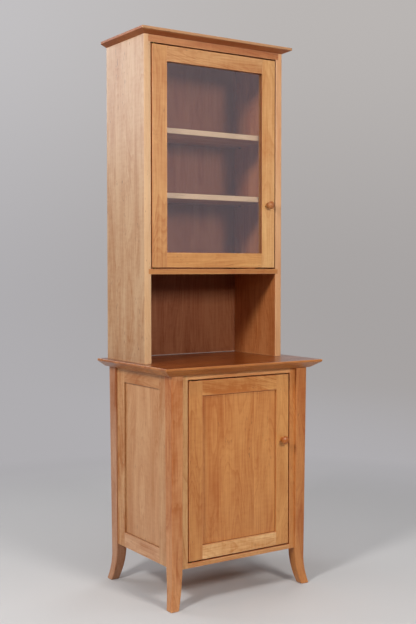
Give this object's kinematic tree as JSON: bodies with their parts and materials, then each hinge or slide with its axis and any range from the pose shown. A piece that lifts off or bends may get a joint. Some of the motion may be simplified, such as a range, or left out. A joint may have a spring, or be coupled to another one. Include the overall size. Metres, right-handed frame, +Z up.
{
  "type": "step back cupboard",
  "caption": "Tall step back cupboard: a glazed upper case over an open niche stands set back on a deeper base with a panelled door and splayed feet.",
  "frame": {"origin": "on the floor, under the middle of the counter, which is the widest and deepest board", "axes": "+X to the right seen from the front, +Y to the back, +Z up"},
  "size_m": [0.614, 0.451, 1.824],
  "materials": {
    "cherry_case": "satin lacquer",
    "cherry_door": "satin lacquer",
    "cherry_shelf": "satin lacquer",
    "back_panel": "satin lacquer",
    "turned_knob": "satin lacquer",
    "dowel_wood": "bare",
    "glass": "clear float",
    "brass": "satin",
    "screw_steel": "plated",
    "magnet": "plated"
  },
  "bodies": {
    "carcase": {"crown_board": "cherry_case", "case_side_left": "cherry_case", "case_side_right": "cherry_case", "case_top": "cherry_case", "fixed_shelf": "cherry_case", "counter_top": "cherry_case", "leg_front_left": "cherry_case", "leg_front_right": "cherry_case", "leg_back_left": "cherry_case", "leg_back_right": "cherry_case", "front_stile_left": "cherry_case", "front_stile_right": "cherry_case", "front_rail_top": "cherry_case", "front_rail_bottom": "cherry_case", "back_rail": "cherry_case", "base_floor": "cherry_case", "door_stops": "cherry_case", "side_left_stile_front": "cherry_case", "side_left_stile_back": "cherry_case", "side_left_rail_top": "cherry_case", "side_left_rail_bottom": "cherry_case", "side_left_panel": "cherry_case", "side_right_stile_front": "cherry_case", "side_right_stile_back": "cherry_case", "side_right_rail_top": "cherry_case", "side_right_rail_bottom": "cherry_case", "side_right_panel": "cherry_case", "loose_shelf_upper": "cherry_shelf", "loose_shelf_lower": "cherry_shelf", "base_shelf": "cherry_shelf", "case_back": "back_panel", "base_back": "back_panel", "locating_dowels": "dowel_wood", "hinge_case_leaves": "brass", "hinge_pins": "brass", "hinge_washers": "brass", "shelf_pins": "brass", "rail_screws": "screw_steel", "back_screws": "screw_steel", "hinge_case_screws": "screw_steel", "catch_magnets": "magnet"},
    "upper_door": {"upper_door_stile_left": "cherry_door", "upper_door_stile_right": "cherry_door", "upper_door_rail_top": "cherry_door", "upper_door_rail_bottom": "cherry_door", "glass_pane": "glass", "glazing_strips": "cherry_door", "upper_knob": "turned_knob", "upper_hinge_leaves": "brass", "upper_hinge_screws": "screw_steel", "upper_strike": "screw_steel"},
    "lower_door": {"lower_door_stile_left": "cherry_door", "lower_door_stile_right": "cherry_door", "lower_door_rail_top": "cherry_door", "lower_door_rail_bottom": "cherry_door", "lower_door_panel": "cherry_door", "lower_knob": "turned_knob", "lower_hinge_leaves": "brass", "lower_hinge_screws": "screw_steel", "lower_strike": "screw_steel"}
  },
  "joints": [
    {"name": "upper_door_hinge", "type": "hinge", "parent": "carcase", "child": "upper_door", "pos_m": [-0.2356, -0.034, 1.4242], "axis": [0, 0, -1], "range_deg": [0, 110]},
    {"name": "lower_door_hinge", "type": "hinge", "parent": "carcase", "child": "lower_door", "pos_m": [-0.1886, -0.1752, 0.4291], "axis": [0, 0, -1], "range_deg": [0, 110]}
  ]
}
